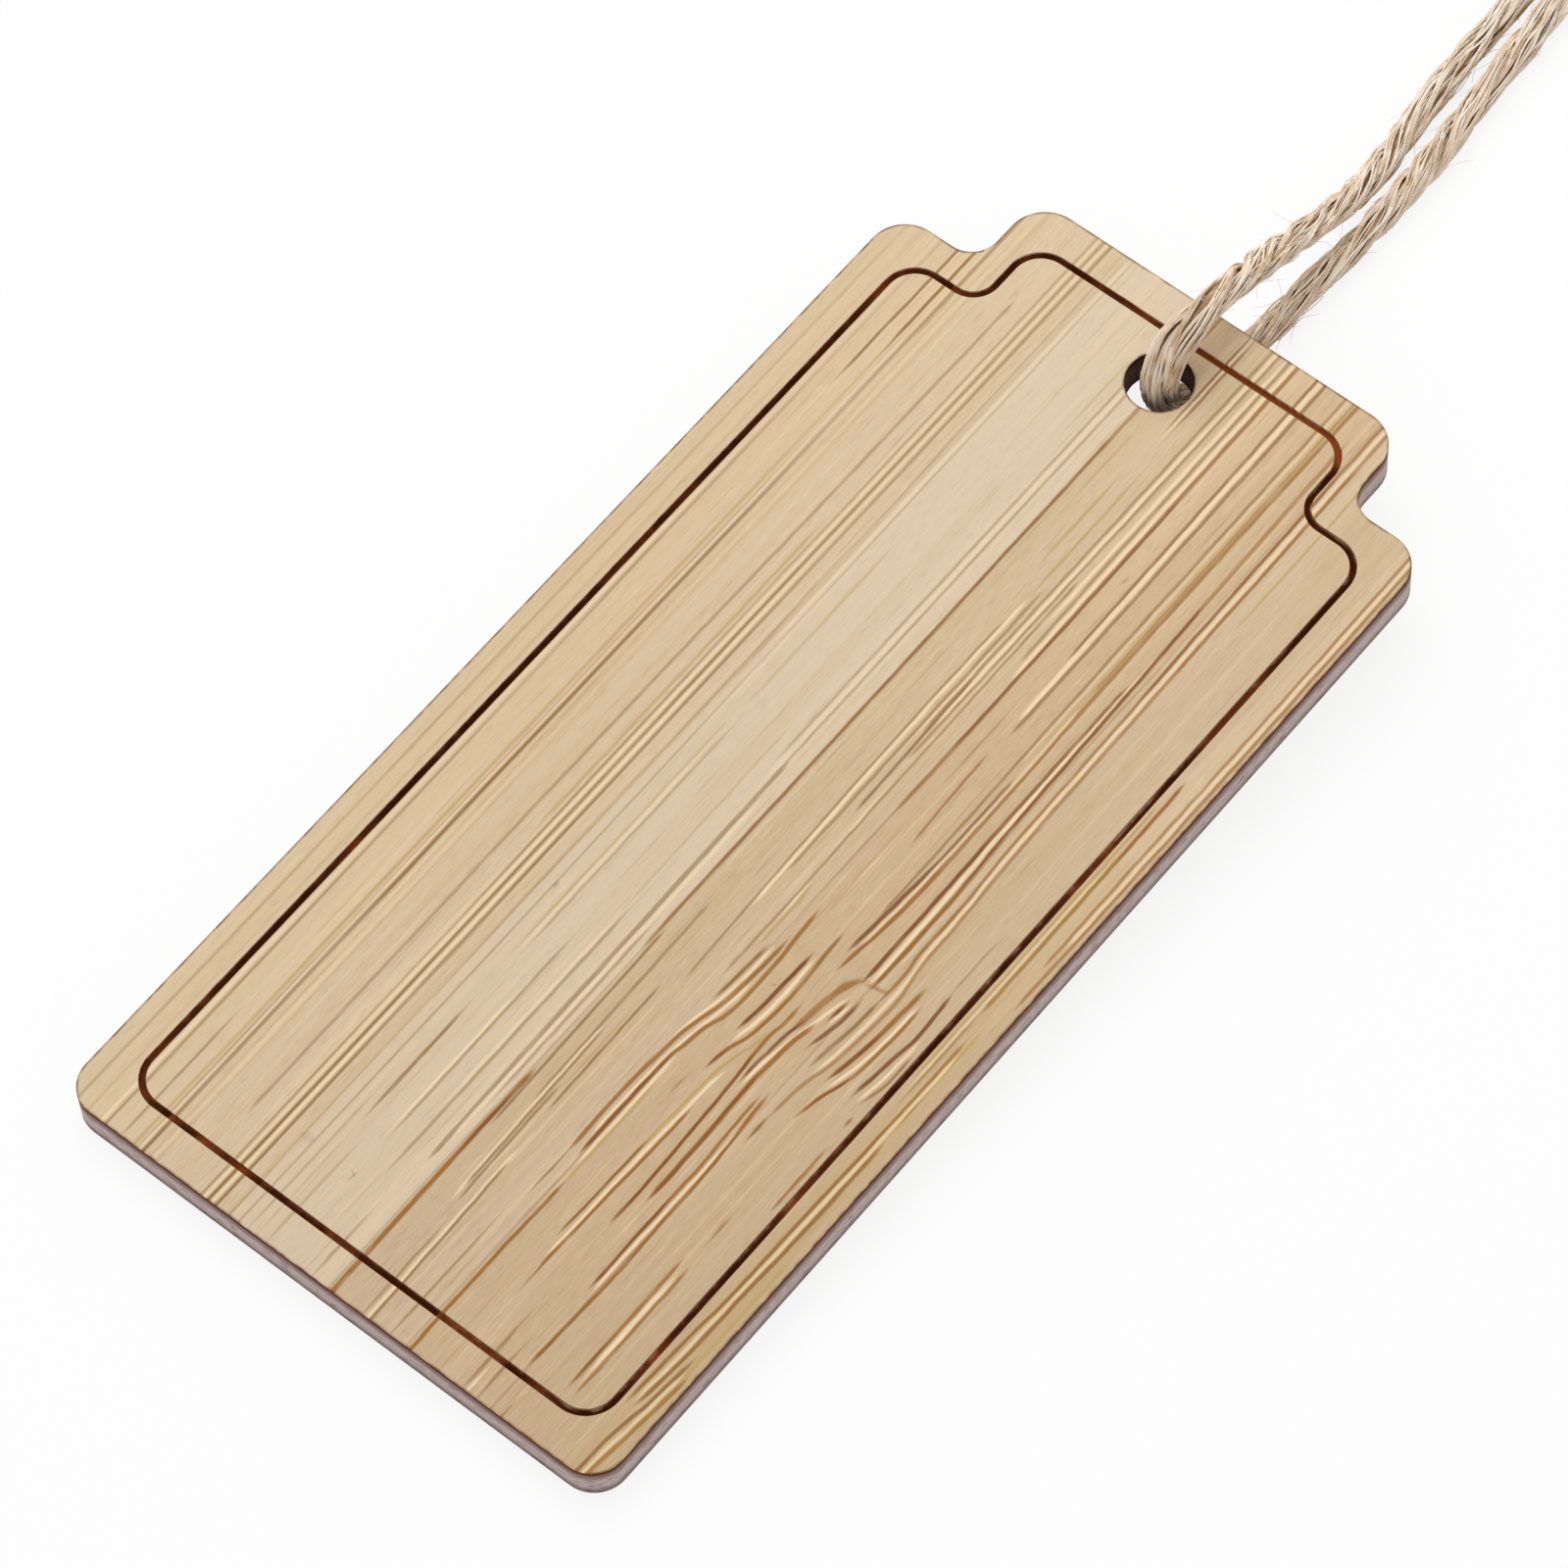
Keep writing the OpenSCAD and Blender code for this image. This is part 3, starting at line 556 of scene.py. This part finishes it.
def cut_walls(colour, x, y, z, smoke, seed):
    """The label with the scorch along its cut edges and its walls, and where these walls are. A wall is charred at
    its front edge, painted paler grey below that as bounce light from the floor, and painted darker again at its
    back edge as the shadow where it meets the floor."""
    edge = 0 - tag_outline(x, y, 0, notch_w, notch_h, (corner_r, shoulder_r, top_r), fillet_r)
    hole_gap = span(x, y - hole_y) - hole_d / 2
    rim = edge.at_most(hole_gap)
    scorch = rim.fade(scorch_w, 0.02) * smoke.fade(0.3, 0.65) * scorch_share
    colour = over(colour, scorch, char)
    wall = rim.fade(wall_start, wall_full)
    layer = grain(x + y, z, 0.8, 2.5, seed + 8, 3.0)
    # Painted bounce light: the wall is paler towards its back, where the floor lights it, in patches by its layers
    wall_tone = over(wall_grey, z.fade(2.05, 1.35) * layer.fade(0.25, 0.5), wall_bounce_lit)
    wall_tone = over(wall_tone, layer.fade(0.5, 0.75) * 0.4, wall_dark_and_shadow)
    wall_tone = over(wall_tone, z.fade(label_t - wall_char_h, label_t - 0.1), char)
    # Painted shadow: the wall darkens towards its back edge, where it meets the floor
    wall_tone = over(wall_tone, z.fade(0.8, 0.15) * 0.6, wall_dark_and_shadow)
    colour = over(colour, wall, wall_tone)
    return over(colour, hole_gap.fade(wall_start, wall_full) * hole_soot_share, soot), wall


to_mm = 1000
fibre_slant = 0.6
fibre_sway = 0.2
seam_w = 0.14
seam_share = 0.4
face_rough, wall_rough = 0.6, 0.85
face_sheen = 0.12
grain_relief = 0.00006


def bamboo(name, upper_tone_lit, lower_tone_shaded, seed, bold=1):
    """Sanded bamboo, laid on a strip: its tones at the top and bottom ends, which hold its own tone and painted
    light, a seed for its grain, and how bold its faint grain is"""
    left, right = glue_lines[name]
    material = bpy.data.materials.new(name)
    material.use_nodes = True
    material.node_tree.nodes.clear()
    wire = Wire(material.node_tree)
    place = wire.node("TexCoord", output="Object")
    spot = Vector(back_face["pos_m"]) * to_mm
    shift = (0, back_face_y - spot.dot(grain_up), -spot.dot(face_up))
    board = wire.node("Mapping", None, {"Vector": place, "Location": shift, "Rotation": (-lean, 0, 0),
                                        "Scale": (to_mm, to_mm, to_mm)})
    x, y, z = [wire.node("SeparateXYZ", None, {"Vector": board}, axis) for axis in "XYZ"]
    deep_x = x + (z - label_t) * fibre_slant
    fibre_x = deep_x + (grain(x, y, 0.12, 0.03, seed + 3) - 0.5) * fibre_sway

    # Painted light: the strip's own tone, painted lighter towards the top end and darker towards the bottom end
    colour = over(lower_tone_shaded, y / label_l, upper_tone_lit)
    tone = grain(fibre_x, y, 0.5, 0.018, seed, 3.0)
    colour = over(colour, tone.fade(0.5, 0.78) * 0.35, cream)
    colour = over(colour, tone.fade(0.5, 0.22) * 0.25, straw)
    faint = {}
    for kind, (nth, across, along, detail, *marks) in faint_grain.items():
        faint[kind] = grain(fibre_x, y, across, along, seed + nth, detail)
        for shade, start, full, share in marks:
            colour = over(colour, faint[kind].fade(start, full) * (share * bold), shade)
    colour = fibre_marks(colour, fibre_x, y, left, right, seed)
    colour = streak_marks(colour, x, y, deep_x, left, right, seed)
    seam = (x - left).at_most(right - x).fade(seam_w, 0.02)
    seam_shown = grain(x, y, 0.3, 0.06, seed + 6).fade(0.35, 0.65) * seam_share
    colour = over(colour, seam * seam_shown, brown)
    smoke = grain(x, y, 0.9, 0.9, seed + 7, 3.0)
    colour, sooty = burnt_line(colour, x, y, z, smoke, seed)
    colour, wall = cut_walls(colour, x, y, z, smoke, seed)

    rough = wall * (wall_rough - face_rough) + face_rough
    height = faint["dash"] * 0.5 + faint["ripple"] * 0.5
    bump = wire.node("Bump", None, {"Height": height, "Strength": 0.2, "Distance": grain_relief})
    skin = wire.node("BsdfPrincipled", None, {"Base Color": colour, "Roughness": rough, "Normal": bump,
                                              "Specular IOR Level": face_sheen})
    ash = wire.node("BsdfDiffuse", None, {"Color": soot})
    surface = wire.node("MixShader", None, {0: sooty, 1: skin, 2: ash})
    wire.node("OutputMaterial", None, {"Surface": surface})
    strip = frame["nodes"][name]
    strip.data.materials.clear()
    strip.data.materials.append(material)


# Each strip's tones hold its own tone and painted light: lighter towards the top end and on the left, darker
# towards the lower right
bamboo("left_edge_strip", paint(223, 197, 160), paint(220, 196, 161), 11)
bamboo("left_strip", paint(224, 200, 166), paint(216, 192, 159), 23, 1.2)
bamboo("left_centre_strip", paint(226, 206, 177), paint(219, 197, 167), 37, 0.92)
bamboo("right_centre_strip", paint(220, 195, 160), paint(205, 180, 147), 41, 1.25)
bamboo("right_strip", paint(214, 185, 147), paint(204, 177, 143), 53, 1.15)
bamboo("right_edge_strip", paint(217, 192, 158), paint(200, 173, 137), 67)

# Jute twine, one length of it, laid through the hole
# Two plies of soft jute fibres twisted together, about 2 mm thick. One leg comes up out of the hole and
# over the top end, the other goes down and out under it. Both are tied together in an overhand knot.
twine_d = 0.002
ply_reach = 0.00038
ply_half_t = 0.00038
ply_half_w = 0.00066
ply_core_r = 0.00034
ply_lay = 0.0132
fibre_lay = 0.0170
fibres_in_ply = 32
fibre_r = (0.00004, 0.00009)
shade_shares = (0.35, 0.45, 0.2)
line_step = 0.0006
hole = Vector(frame["joints"][0]["pos_m"])
hole_foot = np.array((hole.x, hole.y, 0))

# Where each leg runs, in metres from the point on the floor below the hole
front_route = [
    (0, 0, 0.005), (0, 0, 0.0055), (0, 0.0004, 0.0067), (0, 0.0012, 0.0078),
    (0.0002, 0.0025, 0.0087), (0.0003, 0.004, 0.009), (0.0003, 0.006, 0.0086),
    (0.0001, 0.0085, 0.0075), (-0.0002, 0.011, 0.0061), (-0.0004, 0.014, 0.0045),
    (-0.0005, 0.017, 0.0031), (-0.0006, 0.02, 0.0021), (-0.0009, 0.0235, 0.0013),
    (-0.0014, 0.027, 0.001), (-0.0018, 0.031, 0.001), (-0.002, 0.036, 0.001),
    (-0.0023, 0.041, 0.001), (-0.0025, 0.047, 0.001), (-0.0025, 0.053, 0.0011),
    (-0.0025, 0.057, 0.0016), (-0.0025, 0.061, 0.0023), (-0.0024, 0.0635, 0.0026),
    (-0.0024, 0.065, 0.0026),
]
back_route = [
    (0, 0, 0.005), (0, 0, 0.0045), (0, 0.0004, 0.0033), (0.0001, 0.0012, 0.0022),
    (0.0003, 0.0025, 0.0013), (0.0005, 0.004, 0.001), (0.0008, 0.007, 0.001),
    (0.001, 0.01, 0.001), (0.0011, 0.014, 0.001), (0.0013, 0.018, 0.001),
    (0.0013, 0.022, 0.001), (0.0012, 0.026, 0.001), (0.0008, 0.03, 0.001),
    (0.0004, 0.035, 0.001), (0.0001, 0.04, 0.001), (-0.0001, 0.046, 0.001),
    (-0.0002, 0.052, 0.0011), (-0.0002, 0.057, 0.0016), (-0.0002, 0.061, 0.0023),
    (-0.0003, 0.0635, 0.0026), (-0.0003, 0.065, 0.0026),
]

# The knot's turns, as both lengths of twine make them side by side: distance from the knot's middle
# line, turn round it in degrees, and place along it. In along the core, out and once round, and out.
knot_low, knot_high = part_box("twine_knot")
knot_middle = np.array((knot_low + knot_high) / 2)
knot_apart = 0.00083
knot_pinch = 0.8
knot_turns = [
    (0.0008, -90, -0.002), (0.00085, -90, 0.0006), (0.0012, -82, 0.0020), (0.0021, -48, 0.0025),
    (0.0026, 0, 0.0019), (0.0026, 60, 0.0013), (0.0026, 120, 0.0006), (0.0026, 180, 0),
    (0.0026, 240, -0.0006), (0.0026, 300, -0.0013), (0.0026, 360, -0.0019),
    (0.0021, 408, -0.0025), (0.0012, 442, -0.0020), (0.00085, 450, -0.0006), (0.0008, 450, 0.002),
]
left_tail = [
    (-0.0024, 0.0734, 0.0042), (-0.0024, 0.0749, 0.0042), (-0.0027, 0.0779, 0.0033),
    (-0.0032, 0.0809, 0.0019), (-0.0037, 0.0839, 0.0011), (-0.0042, 0.0869, 0.001),
]
right_tail = [
    (-0.0003, 0.0734, 0.0042), (-0.0003, 0.0749, 0.0042), (0, 0.0774, 0.0034),
    (0.0005, 0.0804, 0.002), (0.001, 0.0829, 0.0012), (0.0014, 0.0854, 0.001),
]


def unit(vectors):
    """The same directions, each 1 long"""
    return vectors / np.linalg.norm(vectors, axis=-1, keepdims=True)


fine_steps = 8


def smooth_line(points, step):
    """Points at even steps along a smooth curve through the given points"""
    points = np.array(points)
    chord = np.r_[0, np.cumsum(np.linalg.norm(np.diff(points, axis=0), axis=1))]
    slope = np.gradient(points, chord, axis=0)
    at = np.linspace(0, chord[-1], int(chord[-1] / step * fine_steps))
    i = np.clip(np.searchsorted(chord, at, "right") - 1, 0, len(chord) - 2)
    gap = (chord[i + 1] - chord[i])[:, None]
    u = (at - chord[i])[:, None] / gap
    fine = ((2 * u**3 - 3 * u**2 + 1) * points[i] + (u**3 - 2 * u**2 + u) * gap * slope[i]
            + (3 * u**2 - 2 * u**3) * points[i + 1] + (u**3 - u**2) * gap * slope[i + 1])
    run = np.r_[0, np.cumsum(np.linalg.norm(np.diff(fine, axis=0), axis=1))]
    even = np.linspace(0, run[-1], round(run[-1] / step) + 1)
    return np.stack([np.interp(even, run, axis) for axis in fine.T], axis=1)


def knot_strand(side):
    """One of the two lengths of twine through the knot, a little to one side of their shared turns"""
    reach, turn, along = np.array(knot_turns).T
    out = np.stack([np.cos(np.radians(turn)), 0 * turn, np.sin(np.radians(turn))], axis=1)
    middle = reach[:, None] * out + along[:, None] * np.array((0, 1, 0))
    heading = unit(np.gradient(middle, axis=0))
    return knot_middle + middle + side * knot_apart * unit(np.cross(heading, out))


back_half = [*(hole_foot + back_route), *knot_strand(-1), *(hole_foot + left_tail)]
front_half = [*(hole_foot + front_route), *knot_strand(1), *(hole_foot + right_tail)]
back_line = smooth_line(back_half, line_step)
front_line = smooth_line(front_half, line_step)
twine_line = np.vstack([back_line[::-1], front_line[1:]])
at_hole = len(back_line) - 1


def leg_end(line, route):
    """How many steps along the line the leg meets the knot"""
    return int(np.linalg.norm(line - (hole_foot + route[-1]), axis=1).argmin())


back_knot = at_hole - leg_end(back_line, back_route)
front_knot = at_hole + leg_end(front_line, front_route)
last_step = len(twine_line) - 1

# Directions across the twine, carried along it without turning
along = unit(np.gradient(twine_line, axis=0))
across = np.empty_like(along)
across[0] = unit(np.cross(along[0], (0, 0, 1)))
for i in range(1, len(along)):
    across[i] = unit(across[i - 1] - along[i] * (across[i - 1] @ along[i]))
rise = np.cross(along, across)
run = np.arange(len(twine_line)) * line_step

# The twine is squeezed in the knot, opens where it bends out of the hole, and frays at its cut ends
knot_ease = 0.004
bend_at = 0.0015
bend_l = 0.0055
bend_open = 0.34
fray_l = 0.004
fray_spread = 1.6
fray_thins = 0.7
into_knot = np.maximum(run[back_knot] + knot_ease - run, run - run[front_knot] + knot_ease)
tight = np.clip(into_knot / knot_ease, 0, 1)
opened = bend_open * np.exp(-((run - run[at_hole] - bend_at) / bend_l) ** 2)
thick = 1 - (1 - knot_pinch) * tight + opened
fray = np.clip(1 - np.minimum(run, run[-1] - run) / fray_l, 0, 1) ** 2
dice = np.random.default_rng(7)
drift_waves = 3
drift_spread = (0.6, 1.6)
drift_peak = 1.7


def wander(size, wave):
    """A slow random drift along the twine: how far it goes, and about how long its waves are"""
    waves = wave * dice.uniform(*drift_spread, drift_waves)
    starts = dice.uniform(0, 2 * math.pi, drift_waves)
    return size * sum(np.sin(2 * math.pi * run / w + s) for w, s in zip(waves, starts)) / drift_peak


def above_floor(line, size):
    """The same line, raised where it would sink into the surface under it"""
    line[:, 2] = np.maximum(line[:, 2], size)
    return line


def in_ply(turn, around, reach):
    """A line in a ply: the ply's turn about the twine, and the line's own turn and reach within the ply"""
    outward = np.cos(turn)[:, None] * across + np.sin(turn)[:, None] * rise
    sideways = np.cross(along, outward)
    out = ply_reach + ply_half_t * reach * np.cos(around)
    side = ply_half_w * reach * np.sin(around)
    return twine_line + (thick * out)[:, None] * outward + (thick * side)[:, None] * sideways


# Drifts of the twine's thickness and twist, and of each fibre's turn, reach and thickness: size and wave
thick_drift = (0.07, 0.009)
twist_drift = (0.45, 0.03)
turn_drift = (0.42, 0.012)
reach_drift = (0.13, 0.007)
size_drift = (0.15, 0.01)
# Each ply's core takes the darkest jute, a painted shadow that shows in the gaps between its fibres
core_as_shadow = 3

strands = []
thick = thick * (1 + wander(*thick_drift))
twist = -2 * math.pi * run / ply_lay + wander(*twist_drift)
for ply in range(2):
    ply_turn = twist + math.pi * ply
    core_r = ply_core_r * thick * (1 - fray_thins * fray)
    core_line = above_floor(in_ply(ply_turn, 0 * run, 0 * run), core_r)
    strands.append((core_line, core_r, core_as_shadow))
    for fibre in range(fibres_in_ply):
        around = 2 * math.pi * (fibre / fibres_in_ply + run / fibre_lay) + wander(*turn_drift)
        reach = 1 + wander(*reach_drift) + fray * dice.uniform(0, fray_spread)
        size = dice.uniform(*fibre_r) * thick * (1 + wander(*size_drift))
        shade = int(dice.choice(3, p=shade_shares))
        strands.append((above_floor(in_ply(ply_turn, around, reach), size), size, shade))

# Fine fibres lie over the plies for a short way and then end
fine_r = (0.00002, 0.000036)
fine_l = (0.004, 0.012)
fine_per_m = 3000
fine_reach = 1.13
fine_drift = (0.14, 0.006)
fine_turn = (0.5, 1.3)
fine_shade_shares = (0.75, 0.25)
fine_least_steps = 3
loose_fibres = []
for _ in range(int(run[-1] * fine_per_m)):
    first = int(dice.integers(0, last_step))
    last = min(first + int(dice.uniform(*fine_l) / line_step), last_step)
    around = dice.uniform(0, 2 * math.pi) + 2 * math.pi * run / fibre_lay * dice.uniform(*fine_turn)
    reach = fine_reach + wander(*fine_drift)
    size = dice.uniform(*fine_r) + 0 * run
    line = above_floor(in_ply(twist + math.pi * dice.integers(2), around, reach), size)
    shade = int(dice.choice(2, p=fine_shade_shares))
    loose_fibres.append((first, last, line, size, shade))


jute_patches = 900.0
jute_detail = 3.0
jute_fade = (0.3, 0.7)
jute_rough = 0.85
jute_sheen = 0.25


def jute(name, pale, dark):
    """Raw jute: dry, with a soft change of tone along each fibre"""
    material = bpy.data.materials.new(name)
    material.use_nodes = True
    material.node_tree.nodes.clear()
    wire = Wire(material.node_tree)
    place = wire.node("TexCoord", output="Object")
    patch = wire.node("TexNoise", None, {"Vector": place, "Scale": jute_patches, "Detail": jute_detail})
    colour = over(dark, patch.fade(*jute_fade), pale)
    skin = wire.node("BsdfPrincipled", None, {"Base Color": colour, "Roughness": jute_rough,
                                              "Specular IOR Level": jute_sheen})
    wire.node("OutputMaterial", None, {"Surface": skin})
    return material


jute_shades = [
    jute("jute_pale", paint(253, 243, 230), paint(246, 228, 206)),
    jute("jute_tan", paint(248, 231, 210), paint(234, 209, 180)),
    jute("jute_brown", paint(234, 211, 184), paint(205, 173, 136)),
    # The core's jute is painted dark as the shadow in the gaps between the fibres
    jute("jute_core_shadow", paint(192, 158, 122), paint(150, 116, 80)),
]

# Loose fibre ends stand off the twine, but not where it passes through the hole
hair_r = (0.000014, 0.000024)
hair_l = (0.001, 0.003)
hair_points = 7
hair_reach = 0.0022
hairs_per_m = 1300
hair_free = 0.0045
hair_root = 0.8
hair_lift = (0.1, 0.4)
hair_curl = 0.3
hair_tip = 0.5


def stray_hairs(first, last):
    """Loose fibre ends that stand off the twine between two of its steps"""
    hairs = []
    for _ in range(int((last - first) * line_step * hairs_per_m)):
        i = int(dice.integers(first, last))
        turn = dice.uniform(0, 2 * math.pi)
        out = math.cos(turn) * across[i] + math.sin(turn) * rise[i]
        bend = np.cross(along[i], out)
        length = dice.uniform(*hair_l)
        lift = dice.uniform(*hair_lift) * length
        curl = dice.normal(0, hair_curl) * length
        way = dice.choice((-1, 1))
        u = np.linspace(0, 1, hair_points)[:, None]
        line = twine_line[i] + hair_root * thick[i] * twine_d / 2 * out
        line = line + way * u * length * along[i] + u**2 * lift * out + u**2 * curl * bend
        size = dice.uniform(*hair_r) * np.linspace(1, hair_tip, hair_points)
        gap = np.linalg.norm(twine_line[first:last + 1] - line[-1], axis=1).min()
        if gap < hair_reach and abs(i - at_hole) * line_step > hair_free:
            hairs.append((above_floor(line, size), size, int(dice.choice(2))))
    return hairs


def spin(name, first, last, more=()):
    """A stretch of the twine, or two, as one mesh in which each fibre and each stray hair is a thin tube"""
    curve = bpy.data.curves.new(name, "CURVE")
    curve.dimensions = "3D"
    curve.bevel_depth = 1
    curve.bevel_resolution = 1
    curve.use_fill_caps = True
    for shade in jute_shades:
        curve.materials.append(shade)
    lengths = []
    for a, b in ((first, last), *more):
        lengths += [(line[a:b + 1], size[a:b + 1], shade) for line, size, shade in strands]
        lengths += [(line[max(a, c):min(b, d) + 1], size[max(a, c):min(b, d) + 1], shade)
                    for c, d, line, size, shade in loose_fibres if min(b, d) - max(a, c) > fine_least_steps]
        lengths += stray_hairs(a, b)
    for line, size, shade in lengths:
        spline = curve.splines.new("POLY")
        spline.points.add(len(line) - 1)
        spline.points.foreach_set("co", np.c_[line, np.ones(len(line))].ravel())
        spline.points.foreach_set("radius", size)
        spline.material_index = shade
    piece = bpy.data.objects.new(name, curve)
    bpy.context.scene.collection.objects.link(piece)
    bpy.ops.object.select_all(action="DESELECT")
    bpy.context.view_layer.objects.active = piece
    piece.select_set(True)
    bpy.ops.object.convert(target="MESH")
    bpy.ops.object.shade_smooth()
    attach(piece, "twine_loop")
    return piece


# Knot and tails
# An overhand knot that both ends of the twine are tied in together, pulled tight by hand. The two cut
# ends stand out past it, a little frayed. Its line is laid above, with the rest of the twine.
knot = spin("knot", 0, back_knot, [(front_knot, last_step)])
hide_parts("twine_knot", "twine_tails")


# Front and back leg
# The twine between the hole and the knot, limp and held only by these two. The front leg goes over the
# label's top end and the back leg goes under it.
front_leg = spin("front_leg", at_hole, front_knot)
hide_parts("twine_front_leg")
back_leg = spin("back_leg", back_knot, at_hole)
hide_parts("twine_back_leg")


# Floor and light
# A plain white table under a broad soft lamp, with even light from all round. The floor shows white
# and keeps a faint shadow of the object.
floor_size = 6
floor_drop = 0.00002
floor_colour = (0.96, 0.96, 0.96, 1)
floor_glow_share = 0.86
sky_strength = 0.64
lamp_size = 0.9
lamp_place = (-0.35, 0.25, 0.75)
lamp_watts = 5.2


def seen_ray(wire):
    """1 for a ray that shows the surface itself, 0 for one that only brings its light"""
    seen = wire.node("LightPath", output="Is Camera Ray")
    for ray in ("Is Glossy Ray", "Is Transmission Ray"):
        seen = seen.at_least(wire.node("LightPath", output=ray))
    return seen


bpy.ops.object.select_all(action="DESELECT")
bpy.ops.mesh.primitive_plane_add(size=floor_size, location=(0, 0, -floor_drop))
floor = bpy.context.object
floor.name = "floor"
floor.data.materials.append(bpy.data.materials.new("floor"))
floor.data.materials[0].use_nodes = True
floor_tree = floor.data.materials[0].node_tree
floor_tree.nodes.clear()
wire = Wire(floor_tree)
lit = wire.node("BsdfDiffuse", sockets={"Color": floor_colour})
glow = wire.node("Emission", sockets={"Strength": 1.0})
mixed = wire.node("MixShader", sockets={0: seen_ray(wire) * floor_glow_share, 1: lit, 2: glow})
wire.node("OutputMaterial", sockets={"Surface": mixed})

world = bpy.data.worlds.new("studio")
bpy.context.scene.world = world
world.use_nodes = True
world.node_tree.nodes.clear()
wire = Wire(world.node_tree)
sky = wire.node("Background", sockets={"Strength": seen_ray(wire) * (1 - sky_strength) + sky_strength})
wire.node("OutputWorld", sockets={"Surface": sky})

lamp = bpy.data.objects.new("lamp", bpy.data.lights.new("lamp", "AREA"))
lamp.data.size = lamp_size
lamp.data.energy = lamp_watts
lamp.location = lamp_place
lamp.rotation_euler = (-Vector(lamp_place)).to_track_quat("-Z", "Y").to_euler()
bpy.context.scene.collection.objects.link(lamp)


# Camera
# A long lens looks down on the label from its lower right, so that the label lies corner to corner
# in the picture and the twine leaves at the upper right.
camera_place = (0.149668, -0.174622, 0.382434)
camera_turn_deg = (31.2936, 0.8013, 39.3346)
camera_lens = 175.258
camera_near = 0.01

camera = bpy.data.objects.new("camera", bpy.data.cameras.new("camera"))
camera.location = camera_place
camera.rotation_euler = [math.radians(angle) for angle in camera_turn_deg]
camera.data.lens = camera_lens
camera.data.clip_start = camera_near
bpy.context.scene.collection.objects.link(camera)
bpy.context.scene.camera = camera
bpy.context.scene.view_settings.view_transform = "Standard"
